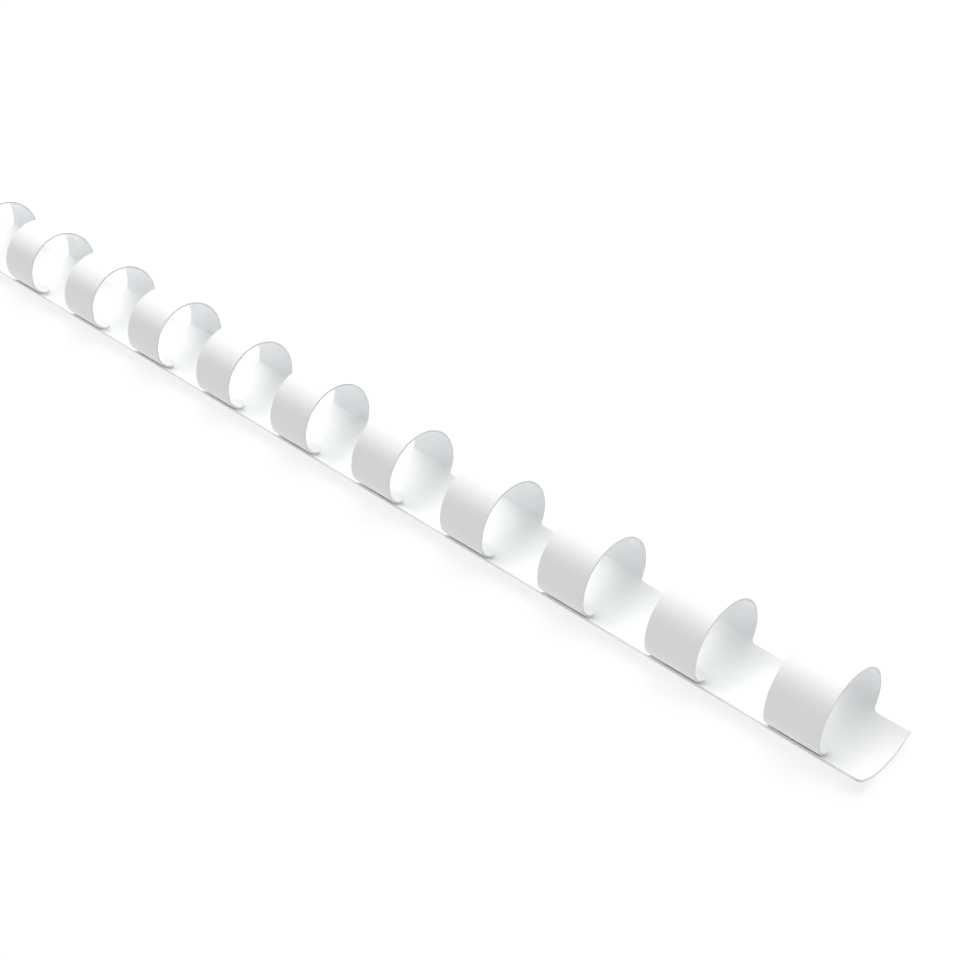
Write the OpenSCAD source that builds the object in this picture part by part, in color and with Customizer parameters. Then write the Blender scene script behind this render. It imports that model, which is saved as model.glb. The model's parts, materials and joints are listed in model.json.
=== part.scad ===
// Plastic comb for binding punched sheets: a shallow trough-shaped spine strip with a row of
// springy ring fingers along its back edge. Each finger curls over the sheets and tucks its tip
// inside the spine's front edge. A finger is drawn as two links that meet where it bends most.
// Millimetres. X runs along the comb, Z is up, and the comb lies on its spine with the fingers'
// tips towards -Y.

/* [Row of fingers] */
// number of ring fingers
fingers = 21; // [3:1:29]
// distance from one finger to the next
pitch = 14.2875; // [12:0.0125:16]
// width of a finger
finger_w = 6.2; // [4:0.1:8]
// spine beyond the last finger at each end
end_margin = 4.2; // [2:0.1:8]

/* [Ring] */
// outside diameter of the ring that a finger makes
ring_d = 10.12; // [9.8:0.02:10.4]
// thickness of the plastic
sheet_t = 0.3; // [0.25:0.05:0.4]
// length of a finger that is hidden inside the spine's front edge
tip_len = 1.9; // [1.5:0.1:2.4]
// radius of the tip's corners
tip_corner = 1.2; // [0.5:0.1:2]
// space between the tip and the spine's inner face
tip_gap = 0.1; // [0.05:0.01:0.2]
// angle up the ring, from its back, where a finger bends most
bend_at = 60; // [50:1:75]
// angle round the ring, past its top, where a finger's front curls in
curl_at = 188; // [180:1:190]

/* [Spine] */
// outside radius of the trough
spine_r = 7.25; // [7:0.05:7.6]
// depth of the comb below the ring's centre
spine_drop = 4; // [3.9:0.02:4.1]
// angle of the trough from its lowest line back to the slots' ends
slot_side = 37; // [35:0.5:39]
// angle of the trough from its lowest line to its free front edge
front_side = 39.5; // [38:0.5:42]
// height of the finger roots above the slots' ends
root_h = 0.6; // [0.4:0.1:0.8]
// radius of the slots' corners
slot_r = 0.6; // [0.3:0.1:0.8]

/* [Hidden] */
$fn = 144;
// gap left between a link and the spine, and half the angle left between two links
seam = 0.03;
seam_a = 0.17;
half_l = (fingers - 1) * pitch / 2 + finger_w / 2 + end_margin;
ring_r = ring_d / 2;
// everything below is worked out with the ring's centre at [0, 0] in the Y-Z plane
spine_c = [0, spine_r - spine_drop];
root_a = slot_side - 90 + deg(root_h / spine_r);
root = spine_c + spine_r * unit(root_a);
// back arc: through the root, running into the ring's own arc at bend_at
bend_u = unit(bend_at);
back_r = (root * root - 2 * ring_r * (root * bend_u) + ring_r * ring_r)
       / (2 * ring_r - 2 * (root * bend_u));
back_c = (ring_r - back_r) * bend_u;
back_a = angle_of(root - back_c);
// front curl, turned back so that it starts at 180 degrees: it runs out of the ring's arc, and
// comes closest to the spine's inner face just behind the front edge
curl_turn = curl_at - 180;
hub = spine_c.y * [sin(curl_turn), cos(curl_turn)];
inner_r = spine_r - sheet_t - tip_gap;
curl_r = floor(500 * (inner_r * inner_r - ring_r * ring_r - hub * hub - 2 * ring_r * hub.x)
               / (inner_r - ring_r - hub.x)) / 1000;
curl_c = [curl_r - ring_r, 0];
end_a = 360 + angle_of(curl_c - hub) + deg(tip_len / curl_r);
// puts the origin under the middle of the comb, on the surface that it lies on
shift = [(ring_r - back_c.x - back_r) / 2, spine_drop];
plastic = [0.93, 0.94, 0.95];

function deg(rad) = rad * 180 / PI;
function unit(a) = [cos(a), sin(a)];
function angle_of(v) = atan2(v.y, v.x);
function finger_x(i) = ((fingers + 1) / 2 - i) * pitch;
function tag(i) = str(i < 10 ? "0" : "", i);
function root_link(i) = str("finger_", tag(i));
function tip_link(i) = str("finger_tip_", tag(i));

// Puts what is drawn in X-Y, with its length along Z, into Y-Z with its length along X.
module along_x() {
    translate([0, shift.x, shift.y]) rotate([90, 0, 90]) children();
}

// A bent strip: outer radius r about c, from angle a0 to a1, l wide and centred along Z.
module strip(c, r, a0, a1, l) {
    translate([c.x, c.y, -l / 2])
        rotate_extrude(start = a0, angle = a1 - a0)
            translate([r - sheet_t, 0]) square([sheet_t, l]);
}

// Stands a flat outline up, so that it cuts through a strip about c at angle a:
// the outline's X runs across the strip and its Y along the strip.
module through(c, a) {
    translate([c.x, c.y, 0]) rotate([0, 90, a]) children();
}

// A slot between two roots, with rounded corners at its closed end.
module slot(w) {
    translate([slot_r - w / 2, 0]) square([w - 2 * slot_r, 3]);
    translate([-w / 2, slot_r]) square([w, 3]);
    for (s = [-1, 1]) translate([s * (w / 2 - slot_r), slot_r]) circle(slot_r);
}

// The outline of a finger's last stretch, ending at Y = 0.
module tip_outline() {
    translate([-finger_w / 2, -6]) square([finger_w, 6 - tip_corner]);
    translate([tip_corner - finger_w / 2, -6]) square([finger_w - 2 * tip_corner, 6]);
    for (s = [-1, 1])
        translate([s * (finger_w / 2 - tip_corner), -tip_corner]) circle(tip_corner);
}

module spine() {
    slot_w = pitch - finger_w;
    color(plastic) along_x() difference() {
        strip(spine_c, spine_r, -90 - front_side, root_a, 2 * half_l);
        for (i = [0 : fingers]) translate([0, 0, finger_x(i + 0.5)])
            through(spine_c, slot_side - 90)
                translate([0, 0, spine_r - 2]) linear_extrude(4) slot(slot_w);
    }
}

// From the root to the bend.
module finger(i) {
    color(plastic) along_x() translate([0, 0, finger_x(i)]) difference() {
        strip(back_c, back_r, back_a - 12, bend_at - seam_a, finger_w);
        translate([root.x, root.y, 0]) rotate([0, 0, root_a])
            translate([-3, seam - 6, -finger_w]) cube([6, 6, 2 * finger_w]);
    }
}

// From the bend to the tip.
module finger_tip(i) {
    color(plastic) along_x() translate([0, 0, finger_x(i)]) rotate([0, 0, curl_turn]) {
        strip([0, 0], ring_r, bend_at + seam_a - curl_turn, 180, finger_w);
        intersection() {
            strip(curl_c, curl_r, 180, end_a, finger_w);
            through(curl_c, end_a)
                translate([0, 0, -curl_r]) linear_extrude(3 * curl_r) tip_outline();
        }
    }
}

spine();
for (i = [1 : fingers]) {
    finger(i);
    finger_tip(i);
}
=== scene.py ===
"""A white plastic binding comb: one formed sheet, drawn as its spine and, for each finger, the
crease at its root and its ring.
The spine rides with the CAD model's spine body; the creases and rings stay where they are drawn.

The sheet's section is one smooth line of arcs, each tangent to the next, so the angle of the
outward normal names every place on it: from the spine's front edge, under the spine, up through
the crease, over the ring and down to the finger's tip.
"""

import json
import math

import bmesh
import bpy
from mathutils import Matrix, Vector


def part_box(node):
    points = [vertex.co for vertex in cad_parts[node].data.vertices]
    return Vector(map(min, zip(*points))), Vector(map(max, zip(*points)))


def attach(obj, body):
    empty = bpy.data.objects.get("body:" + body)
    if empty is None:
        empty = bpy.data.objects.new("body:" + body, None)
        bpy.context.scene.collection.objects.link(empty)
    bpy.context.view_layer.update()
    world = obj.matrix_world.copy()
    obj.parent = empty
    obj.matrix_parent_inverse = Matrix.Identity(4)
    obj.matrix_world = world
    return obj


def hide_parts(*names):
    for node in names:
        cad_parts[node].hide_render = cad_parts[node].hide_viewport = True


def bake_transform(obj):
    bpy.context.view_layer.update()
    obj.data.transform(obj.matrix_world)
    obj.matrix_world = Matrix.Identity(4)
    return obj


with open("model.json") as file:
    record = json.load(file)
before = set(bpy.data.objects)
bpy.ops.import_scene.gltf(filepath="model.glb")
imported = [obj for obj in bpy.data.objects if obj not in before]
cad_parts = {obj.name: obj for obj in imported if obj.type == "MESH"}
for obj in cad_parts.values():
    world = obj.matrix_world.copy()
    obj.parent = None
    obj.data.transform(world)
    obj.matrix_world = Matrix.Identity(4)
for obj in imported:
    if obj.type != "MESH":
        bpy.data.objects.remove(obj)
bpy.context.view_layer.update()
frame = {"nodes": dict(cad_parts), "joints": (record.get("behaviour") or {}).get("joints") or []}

MM = 0.001

# The sheet's section, in metres and degrees. Its outer face is that of the CAD model, but the sheet
# is drawn a little thinner, and the curl of the finger a little wider.
SHEET_T = 0.25 * MM      # thickness of the sheet
RING_R = 5.06 * MM       # outside radius of a ring
BEND_AT = 60             # where a finger's back arc runs into the ring
CURL_AT = 188            # where the ring turns in to the tip
CURL_R = 2.46 * MM       # outside radius of that curl
TIP_LEN = 1.9 * MM       # how far a tip goes on, past the place where it is nearest to the spine
TIP_CORNER = 1.2 * MM    # rounding of a tip's corners
SPINE_R = 7.25 * MM      # outside radius of the spine
FRONT_AT = -129.5        # the spine's front edge
SLOT_AT = -53            # where the slots between the fingers end
SLOT_R = 0.6 * MM        # rounding of the slots' inner corners

# What the drawing adds to it.
CREASE_R = 0.8 * MM      # outside radius of the crease at a finger's root
EDGE_R = 0.03 * MM       # rounding along a cut edge
EDGE_SEGMENTS = 3        # faces across that rounding
CORNER_R = 0.8 * MM      # rounding of the spine's front corners
CUT_BELOW = 0.22 * MM    # how far below the root the spine piece hands over to the crease piece
CREASE_TO = -8           # where the crease piece hands over to the ring piece
STEP = 0.2 * MM          # length of a face along the section
COLUMN = 0.9 * MM        # length of a face along the spine
COLUMNS = 16             # faces across a finger
CORNER_ROWS = 6          # rows of faces over a slot's rounded corner
MAX_TURN = 3             # most degrees between two rows of faces
FLAT = 0.97              # a face whose normal has a smaller cosine to the sheet's is a cut edge
ON_SEAM = 0.001 * MM     # how near to a seam the face that closes a piece there lies

# The finishes: the gloss, the colours from dull to bright, how fine the patterns are, and how rough.
PVC_IOR = 1.53
OUTSIDE = ((0.855, 0.865, 0.865), (0.88, 0.885, 0.885))
# The inner face is painted brighter and a little cooler than the outer face: painted light standing
# in for light that passes through the thin sheet and bounces about inside the rings.
INSIDE_PAINTED_GLOW = ((0.955, 0.970, 0.978), (0.965, 0.979, 0.986))
# The cut edges are painted lighter than the faces: painted light that makes up for the shade the
# narrow rounded edges fall in.
CUT_PAINTED_LIGHT = ((0.90, 0.91, 0.92), (0.95, 0.955, 0.96))
TABLE = ((0.29, 0.29, 0.29), (0.31, 0.31, 0.31))
CLOUD_SCALE = 90
ROLLING_SCALE = 240
PEEL_SCALE = 700
MARK_SCALE = 5200
GRAIN_SCALE = 6
FACE_ROUGHNESS = (0.285, 0.34)
CUT_ROUGHNESS = (0.3, 0.7)

# The stage: the floor, the light from all round, the soft light above, and the camera.
FLOOR_SIDE = 60.0
FLOOR_GLOW = 0.69
WORLD_COLOUR = (1.0, 0.995, 0.99)
WORLD_DIM = 0.17
WORLD_BRIGHT = 2.1
WORLD_FROM = 0.4         # cosine to the brightest direction where the light starts to rise
WORLD_TO = 0.8           # and where it is at its brightest
WORLD_BRIGHT_TO = Vector((-0.5, 0.32, 0.75))
SOFTBOX_POWER = 2.6
SOFTBOX_SIDE = 1.4
SOFTBOX_AT = Vector((-0.4, 0.4, 1.1))
CAMERA_AT = Vector((0.19693, -0.09890, 0.10945))
CAMERA_ALONG = Vector((-0.5707, 0.5713, -0.5898))
CAMERA_ROLL = -1.433
CAMERA_NEAR = 0.005
LENS = 59.70
SENSOR = 36.0


# ---------------------------------------------------------------- section

def unit(degrees):
    return Vector((math.cos(math.radians(degrees)), math.sin(math.radians(degrees))))


def angle_of(v):
    return math.degrees(math.atan2(v.y, v.x))


def joint_at(name):
    """A joint's place in the section's plane, Y and Z."""
    joint = next(j for j in frame["joints"] if j["name"] == name)
    return Vector(joint["pos_m"][1:])


def back_arc(root, ring_c):
    """Centre and radius of the arc from the root that runs into the ring at BEND_AT."""
    p, u = root - ring_c, unit(BEND_AT)
    radius = (p.dot(p) - 2 * RING_R * p.dot(u) + RING_R ** 2) / (2 * (RING_R - p.dot(u)))
    return ring_c + (RING_R - radius) * u, radius


def crease_centre(c1, r1, c2, r2):
    """Centre of the crease's arc, which touches both arcs from inside near the root."""
    d1, d2, between = r1 - CREASE_R, r2 - CREASE_R, c2 - c1
    d = between.length
    along = (d1 * d1 - d2 * d2 + d * d) / (2 * d)
    side = math.sqrt(d1 * d1 - along * along)
    u = between / d
    both = [c1 + along * u + s * side * Vector((u.y, -u.x)) for s in (-1, 1)]
    return max(both, key=lambda c: c.x)


def section_arcs():
    """The outer face's arcs from the spine's front edge to the finger's tip, each one as its
    centre, its radius, and the places where it starts and ends."""
    root, bend = joint_at("root_01"), joint_at("bend_01")
    ring_c = bend - RING_R * unit(BEND_AT)
    spine_c = Vector((ring_c.x, SPINE_R))
    back_c, back_r = back_arc(root, ring_c)
    crease_c = crease_centre(spine_c, SPINE_R, back_c, back_r)
    curl_c = ring_c + (RING_R - CURL_R) * unit(CURL_AT)
    tip_at = angle_of(curl_c - spine_c) % 360 + math.degrees(TIP_LEN / CURL_R)
    into_crease, out_of_crease = angle_of(crease_c - spine_c), angle_of(crease_c - back_c)
    return [(spine_c, SPINE_R, FRONT_AT, into_crease),
            (crease_c, CREASE_R, into_crease, out_of_crease),
            (back_c, back_r, out_of_crease, BEND_AT),
            (ring_c, RING_R, BEND_AT, CURL_AT),
            (curl_c, CURL_R, CURL_AT, tip_at)]


ARCS = section_arcs()
TIP_AT = ARCS[-1][3]
ROOT_AT = angle_of(joint_at("root_01") - ARCS[0][0])
CUT_AT = ROOT_AT - math.degrees(CUT_BELOW / SPINE_R)


def arc_at(angle):
    return next(arc for arc in ARCS if angle <= arc[3] + 1e-9)


def place(x, angle, depth=0.0):
    """The point at x along the comb, at a place on the section, depth below the outer face."""
    centre, radius, _, _ = arc_at(angle)
    p = centre + (radius - depth) * unit(angle)
    return Vector((x, p.x, p.y))


def rows(start, end):
    """Places from start to end, close enough together to look smooth."""
    found = [start]
    for _, radius, a, b in ARCS:
        a, b = max(a, start), min(b, end)
        if b - a < 1e-6:
            continue
        n = math.ceil(max(math.radians(b - a) * radius / STEP, (b - a) / MAX_TURN))
        found += [a + (b - a) * i / n for i in range(1, n + 1)]
    return found


# ---------------------------------------------------------------- sheet

class Sheet:
    """A stretch of the plastic sheet. Its outer and inner faces are made of quads, and every
    open edge is closed by a rim. Real cut edges are rounded; edges that another piece
    continues are left square, so that the pieces meet without a mark. It is built in
    millimetres, because its edges are too short for bmesh in metres."""

    def __init__(self):
        self.bm = bmesh.new()
        self.pairs = []
        self.joined = set()
        self.quads = []

    def row(self, points, joined=False):
        """Adds a row of points, each (x, place on the section). Returns their numbers."""
        first = len(self.pairs)
        for x, angle in points:
            outer = self.bm.verts.new(place(x, angle) / MM)
            inner = self.bm.verts.new(place(x, angle, SHEET_T) / MM)
            self.pairs.append((outer, inner))
        numbers = list(range(first, len(self.pairs)))
        if joined:
            self.joined.update(numbers)
        return numbers

    def fill(self, lower, upper):
        """Joins two rows with the same number of points."""
        for a, b, c, d in zip(lower, lower[1:], upper[1:], upper):
            self.quads.append((a, b, c, d))

    def open_edges(self):
        """The edges that only one quad has, each as a pair of numbers in that quad's order."""
        found = {}
        for quad in self.quads:
            for i, j in zip(quad, quad[1:] + quad[:1]):
                key = frozenset((i, j))
                found[key] = None if key in found else (i, j)
        return [edge for edge in found.values() if edge]

    def skin(self):
        """Makes the outer and the inner faces."""
        for quad in self.quads:
            self.bm.faces.new([self.pairs[i][0] for i in quad])
            self.bm.faces.new([self.pairs[i][1] for i in reversed(quad)])

    def rim(self):
        """Closes the open edges and returns the mesh edges along the real cuts."""
        cut = []
        for i, j in self.open_edges():
            (outer_i, inner_i), (outer_j, inner_j) = self.pairs[i], self.pairs[j]
            self.bm.faces.new([outer_j, outer_i, inner_i, inner_j])
            if not (i in self.joined and j in self.joined):
                cut += [self.bm.edges.get((outer_i, outer_j)), self.bm.edges.get((inner_i, inner_j))]
        return cut

    def build(self, name):
        """Closes the rim, rounds the cut edges and returns the finished object."""
        self.skin()
        cut = self.rim()
        bmesh.ops.recalc_face_normals(self.bm, faces=self.bm.faces)
        bmesh.ops.bevel(self.bm, geom=cut, offset=EDGE_R / MM, offset_type="OFFSET",
                        segments=EDGE_SEGMENTS, profile=0.5, affect="EDGES", clamp_overlap=True)
        mesh = bpy.data.meshes.new(name)
        self.bm.to_mesh(mesh)
        self.bm.free()
        mesh.transform(Matrix.Scale(MM, 4))
        obj = bpy.data.objects.new(name, mesh)
        bpy.context.scene.collection.objects.link(obj)
        return obj


def sheet_normal(p, first, last):
    """The outer face's normal beside point p, which lies on the stretch from first to last."""
    best, off = None, None
    for centre, radius, a, b in ARCS:
        v = Vector((p.y, p.z)) - centre
        angle = angle_of(v)
        while angle < max(a, first) - 1:
            angle += 360
        if angle > min(b, last) + 1 or b < first or a > last:
            continue
        miss = abs(radius - SHEET_T / 2 - v.length)
        if best is None or miss < off:
            best, off = unit(angle), miss
    return Vector((0, best.x, best.y))


def closes_seam(face):
    """Whether a face only closes a piece where another one goes on from it."""
    for seam in (CUT_AT, CREASE_TO):
        y, z = unit(seam + 90)
        along = Vector((0, y, z))
        off = (face.center - place(face.center.x, seam)).dot(along)
        if abs(off) < ON_SEAM and abs(face.normal.dot(along)) > FLAT:
            return True
    return False


def finish_sheet(obj, first, last, materials):
    """Gives the faces smooth normals, each side and the cut edges their own finish, and the slot.
    The inner side and the cut edges get finishes painted brighter than the outer side, as painted
    light.
    """
    mesh = obj.data
    for material in materials:
        mesh.materials.append(material)
    sides, edges = {}, {}
    for face in mesh.polygons:
        face.use_smooth = True
        along = face.normal.dot(sheet_normal(face.center, first, last))
        face.material_index = 2 if abs(along) < FLAT else 0 if along > 0 else 1
        for v in face.vertices:
            if abs(along) > FLAT:
                sides[v] = sheet_normal(mesh.vertices[v].co, first, last) * (1 if along > 0 else -1)
            elif not closes_seam(face):
                edges[v] = edges.get(v, Vector()) + face.normal * face.area
    corners = [sides.get(v) or edges.get(v) or mesh.vertices[v].normal
               for v in (loop.vertex_index for loop in mesh.loops)]
    mesh.normals_split_custom_set([tuple(normal.normalized()) for normal in corners])


# ---------------------------------------------------------------- pieces

def across(half):
    """Evenly spaced places across a finger, from its middle, to half its width on each side."""
    return [half * (2 * i / COLUMNS - 1) for i in range(COLUMNS + 1)]


def rounded(side, end, radius):
    """Moves a point near a square corner, side and end away from its two edges, so that the
    corner becomes an arc. Points farther away than the radius stay."""
    if side >= radius or end >= radius:
        return side, end
    a, b = 1 - side / radius, 1 - end / radius
    return (radius * (1 - a * math.sqrt(1 - b * b / 2)),
            radius * (1 - b * math.sqrt(1 - a * a / 2)))


def root_half(angle, half):
    """Half the width of a finger near its root, where the slots' rounded corners widen it."""
    up = math.radians(angle - SLOT_AT) * SPINE_R
    if up >= SLOT_R:
        return half
    return half + SLOT_R - math.sqrt(SLOT_R ** 2 - (SLOT_R - up) ** 2)


def corner_rows():
    """Places over the slots' rounded corners, up to where the spine piece ends."""
    top = math.radians(CUT_AT - SLOT_AT) * SPINE_R
    full = math.degrees(math.acos(1 - top / SLOT_R))
    turns = [math.radians(full * i / CORNER_ROWS) for i in range(CORNER_ROWS + 1)]
    return [SLOT_AT + math.degrees(SLOT_R * (1 - math.cos(turn)) / SPINE_R) for turn in turns]


def crease_points(middle, half, angle):
    """A row across a finger near its root."""
    return [(middle + x, angle) for x in across(root_half(angle, half))]


def ring_points(middle, half, angle):
    """A row across the ring, drawn in at the rounded corners of the tip."""
    end = math.radians(TIP_AT - angle) * CURL_R
    points = []
    for x in across(half):
        side, up = rounded(half - abs(x), end, TIP_CORNER)
        moved = angle - math.degrees((up - end) / CURL_R)
        points.append((middle + math.copysign(half - side, x), moved))
    return points


def spine_points(xs, low, high, angle):
    """A row along the spine, drawn in at its rounded front corners."""
    end = math.radians(angle - FRONT_AT) * SPINE_R
    points = []
    for x in xs:
        side, up = rounded(min(x - low, high - x), end, CORNER_R)
        moved = angle + math.degrees((up - end) / SPINE_R)
        points.append((low + side if x - low < high - x else high - side, moved))
    return points


def finger_place(number):
    """The middle and half the width of a finger."""
    low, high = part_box(f"finger_{number:02d}")
    return (low.x + high.x) / 2, (high.x - low.x) / 2


def strip(name, points_at, places, last_joined, materials):
    """A strip with a row of points at each place, which goes on from another piece."""
    sheet = Sheet()
    last = None
    for angle in places:
        joined = angle == places[0] or (last_joined and angle == places[-1])
        row = sheet.row(points_at(angle), joined)
        if last:
            sheet.fill(last, row)
        last = row
    obj = sheet.build(name)
    finish_sheet(obj, places[0], places[-1], materials)
    return obj


def make_finger(number, materials):
    """The crease and the ring of one finger."""
    tag = f"{number:02d}"
    middle, half = finger_place(number)
    crease = strip("crease_" + tag, lambda angle: crease_points(middle, half, angle),
                   rows(CUT_AT, CREASE_TO), True, materials)
    ring = strip("ring_" + tag, lambda angle: ring_points(middle, half, angle),
                 rows(CREASE_TO, TIP_AT), False, materials)
    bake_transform(crease)
    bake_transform(ring)
    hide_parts("finger_" + tag, "finger_tip_" + tag)


def spread_out(start, end, spacing):
    """Even steps from after start to end, about spacing apart."""
    n = max(2, round((end - start) / spacing))
    return [start + (end - start) * i / n for i in range(1, n + 1)]


def spine_columns(fingers, low, high):
    """Points along the spine, and where each finger's tab starts among them."""
    xs = [low] + spread_out(low, low + CORNER_R, STEP)
    tabs = {}
    for number in fingers:
        middle, half = finger_place(number)
        tab = [middle + x for x in across(root_half(SLOT_AT, half))]
        xs += spread_out(xs[-1], tab[0], COLUMN)[:-1]
        tabs[number] = len(xs)
        xs += tab
    xs += spread_out(xs[-1], high - CORNER_R, COLUMN)
    xs += spread_out(high - CORNER_R, high, STEP)
    return xs, tabs


def make_spine(numbers, materials):
    """The trough with a tab for each finger, as one piece."""
    low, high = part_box("spine")
    order = sorted(numbers, key=lambda number: finger_place(number)[0])
    xs, tabs = spine_columns(order, low.x, high.x)
    sheet = Sheet()
    last = None
    for angle in rows(FRONT_AT, SLOT_AT):
        row = sheet.row(spine_points(xs, low.x, high.x, angle))
        if last:
            sheet.fill(last, row)
        last = row
    corners = corner_rows()
    for number in order:
        middle, half = finger_place(number)
        below = last[tabs[number]:tabs[number] + len(across(half))]
        for angle in corners[1:]:
            row = sheet.row(crease_points(middle, half, angle), angle == corners[-1])
            sheet.fill(below, row)
            below = row
    spine = sheet.build("spine_sheet")
    finish_sheet(spine, FRONT_AT, CUT_AT, materials)
    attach(spine, "spine")
    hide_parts("spine")


# ---------------------------------------------------------------- materials

def nodes_of(name):
    material = bpy.data.materials.new(name)
    material.use_nodes = True
    tree = material.node_tree
    return material, tree, tree.nodes["Principled BSDF"]


def scaled_coordinates(tree, scale):
    """The object's own coordinates, stretched."""
    coordinates = tree.nodes.new("ShaderNodeTexCoord")
    mapping = tree.nodes.new("ShaderNodeMapping")
    mapping.inputs["Scale"].default_value = scale
    tree.links.new(coordinates.outputs["Object"], mapping.inputs["Vector"])
    return mapping.outputs["Vector"]


def noise(tree, vector, scale, detail, roughness=0.5):
    node = tree.nodes.new("ShaderNodeTexNoise")
    node.inputs["Scale"].default_value = scale
    node.inputs["Detail"].default_value = detail
    node.inputs["Roughness"].default_value = roughness
    tree.links.new(vector, node.inputs["Vector"])
    return node.outputs["Fac"]


def ramp(tree, value, places, colours):
    """A value turned into a colour: the first colour below the first place, the second above
    the second, and a smooth mix between them."""
    node = tree.nodes.new("ShaderNodeValToRGB")
    node.color_ramp.interpolation = "EASE"
    for element, at, colour in zip(node.color_ramp.elements, places, colours):
        element.position = at
        element.color = (*colour, 1)
    tree.links.new(value, node.inputs["Fac"])
    return node.outputs["Color"]


def spread(tree, value, low, high):
    """A noise's value, from 0 to 1, spread from low to high."""
    node = tree.nodes.new("ShaderNodeMapRange")
    node.inputs["To Min"].default_value = low
    node.inputs["To Max"].default_value = high
    tree.links.new(value, node.inputs["Value"])
    return node.outputs["Result"]


def bump(tree, height, distance, strength):
    node = tree.nodes.new("ShaderNodeBump")
    node.inputs["Distance"].default_value = distance
    node.inputs["Strength"].default_value = strength
    tree.links.new(height, node.inputs["Height"])
    return node.outputs["Normal"]


def plastic_face(name, colours):
    """White rigid PVC: smooth and glossy, a little uneven where the sheet was rolled."""
    material, tree, shader = nodes_of(name)
    even = scaled_coordinates(tree, (1, 1, 1))
    rolled = scaled_coordinates(tree, (0.5, 1, 1))
    cloud = noise(tree, even, CLOUD_SCALE, 3)
    rolling = noise(tree, rolled, ROLLING_SCALE, 1)
    peel = noise(tree, even, PEEL_SCALE, 2)
    colour = ramp(tree, cloud, (0.1, 0.9), colours)
    tree.links.new(colour, shader.inputs["Base Color"])
    tree.links.new(spread(tree, rolling, *FACE_ROUGHNESS), shader.inputs["Roughness"])
    tree.links.new(bump(tree, peel, 0.02 * MM, 0.2), shader.inputs["Normal"])
    shader.inputs["IOR"].default_value = PVC_IOR
    return material


def plastic_cut():
    """The same plastic where the die has cut it: duller, with fine marks across its thickness. Its
    colours are painted lighter than the faces' to make up for the shade the narrow rounded edge
    falls in: painted light.
    """
    material, tree, shader = nodes_of("white_pvc_cut_painted_light")
    marks = noise(tree, scaled_coordinates(tree, (1, 1, 1)), MARK_SCALE, 3, 0.6)
    colour = ramp(tree, marks, (0.35, 0.7), CUT_PAINTED_LIGHT)
    tree.links.new(colour, shader.inputs["Base Color"])
    tree.links.new(spread(tree, marks, *CUT_ROUGHNESS), shader.inputs["Roughness"])
    tree.links.new(bump(tree, marks, 0.01 * MM, 0.25), shader.inputs["Normal"])
    shader.inputs["IOR"].default_value = PVC_IOR
    return material


# ---------------------------------------------------------------- stage

def make_floor():
    """A wide pale table top that glows a little, so that the comb leaves almost no shadow."""
    mesh = bpy.data.meshes.new("floor")
    bm = bmesh.new()
    bmesh.ops.create_grid(bm, x_segments=8, y_segments=8, size=FLOOR_SIDE / 2)
    bm.to_mesh(mesh)
    bm.free()
    floor = bpy.data.objects.new("floor", mesh)
    bpy.context.scene.collection.objects.link(floor)
    material, tree, shader = nodes_of("table_top")
    grain = noise(tree, scaled_coordinates(tree, (1, 1, 1)), GRAIN_SCALE, 2)
    colour = ramp(tree, grain, (0.3, 0.7), TABLE)
    tree.links.new(colour, shader.inputs["Base Color"])
    shader.inputs["Roughness"].default_value = 0.9
    shader.inputs["Specular IOR Level"].default_value = 0.0
    shader.inputs["Emission Color"].default_value = (1, 1, 1, 1)
    shader.inputs["Emission Strength"].default_value = FLOOR_GLOW
    mesh.materials.append(material)


def soft_light(name, at, aim, side, power):
    light = bpy.data.lights.new(name, "AREA")
    light.shape = "SQUARE"
    light.size = side
    light.energy = power
    lamp = bpy.data.objects.new(name, light)
    lamp.location = at
    lamp.rotation_euler = (aim - at).to_track_quat("-Z", "Y").to_euler()
    bpy.context.scene.collection.objects.link(lamp)


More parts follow.
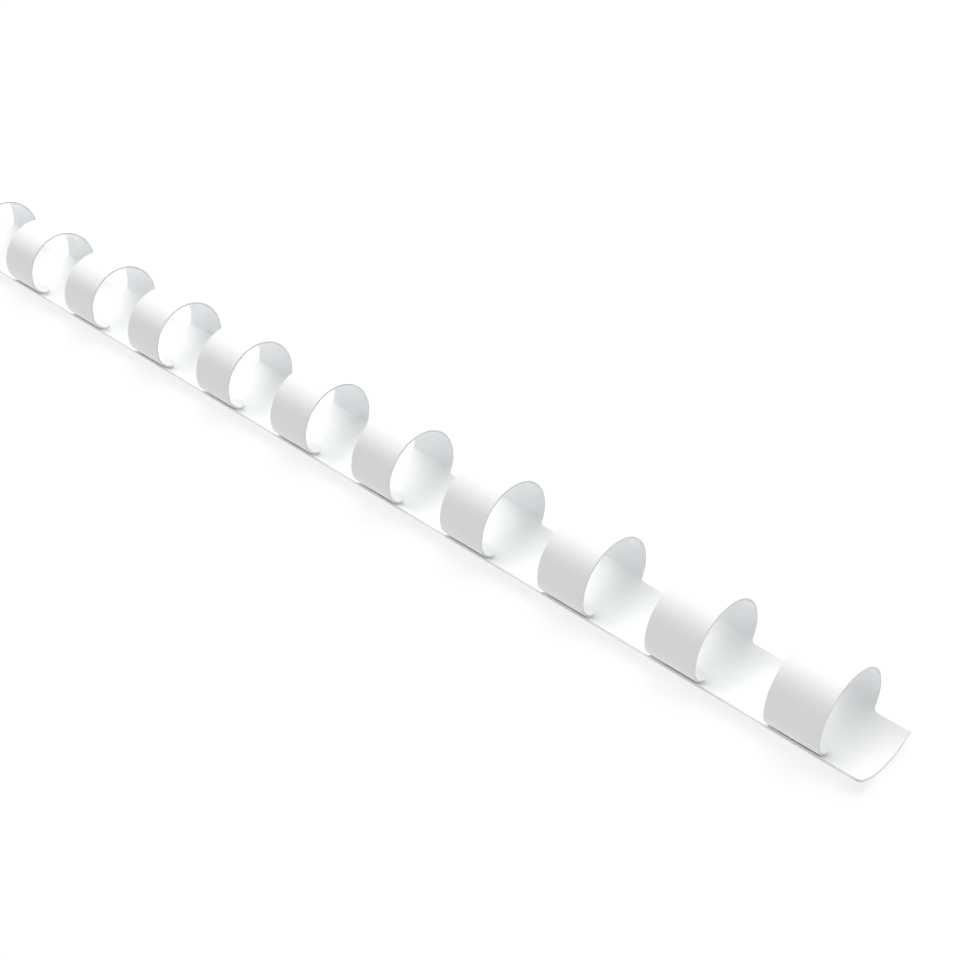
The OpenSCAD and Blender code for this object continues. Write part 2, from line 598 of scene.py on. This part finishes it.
def make_world():
    """Soft light from all round: bright above and to the far end of the comb, dimmer in front."""
    world = bpy.data.worlds.new("studio")
    world.use_nodes = True
    tree = world.node_tree
    background = tree.nodes["Background"]
    coordinates = tree.nodes.new("ShaderNodeTexCoord")
    towards = tree.nodes.new("ShaderNodeVectorMath")
    towards.operation = "DOT_PRODUCT"
    towards.inputs[1].default_value = WORLD_BRIGHT_TO.normalized()
    tree.links.new(coordinates.outputs["Generated"], towards.inputs[0])
    level = tree.nodes.new("ShaderNodeMapRange")
    level.interpolation_type = "SMOOTHSTEP"
    level.inputs["From Min"].default_value = WORLD_FROM
    level.inputs["From Max"].default_value = WORLD_TO
    level.inputs["To Min"].default_value = WORLD_DIM
    level.inputs["To Max"].default_value = WORLD_BRIGHT
    tree.links.new(towards.outputs["Value"], level.inputs["Value"])
    tree.links.new(level.outputs["Result"], background.inputs["Strength"])
    background.inputs["Color"].default_value = (*WORLD_COLOUR, 1)
    bpy.context.scene.world = world
    bpy.context.scene.view_settings.view_transform = "Standard"


def make_camera():
    data = bpy.data.cameras.new("camera")
    data.lens = LENS
    data.sensor_width = SENSOR
    data.clip_start = CAMERA_NEAR
    camera = bpy.data.objects.new("camera", data)
    turn = CAMERA_ALONG.to_track_quat("-Z", "Y").to_matrix().to_4x4()
    roll = Matrix.Rotation(math.radians(CAMERA_ROLL), 4, "Z")
    camera.matrix_world = Matrix.Translation(CAMERA_AT) @ turn @ roll
    bpy.context.scene.collection.objects.link(camera)
    bpy.context.scene.camera = camera


# ---------------------------------------------------------------- scene

FINGERS = [int(name[-2:]) for name in frame["nodes"] if name.startswith("finger_tip_")]
# The inner faces' and the cut edges' materials are painted brighter than the outer faces': painted
# light.
sheet_materials = [plastic_face("white_pvc", OUTSIDE),
                   plastic_face("white_pvc_inside_painted_glow", INSIDE_PAINTED_GLOW),
                   plastic_cut()]
make_spine(FINGERS, sheet_materials)
for finger in FINGERS:
    make_finger(finger, sheet_materials)
make_floor()
soft_light("softbox", SOFTBOX_AT, Vector((0, 0, 0)), SOFTBOX_SIDE, SOFTBOX_POWER)
make_world()
make_camera()
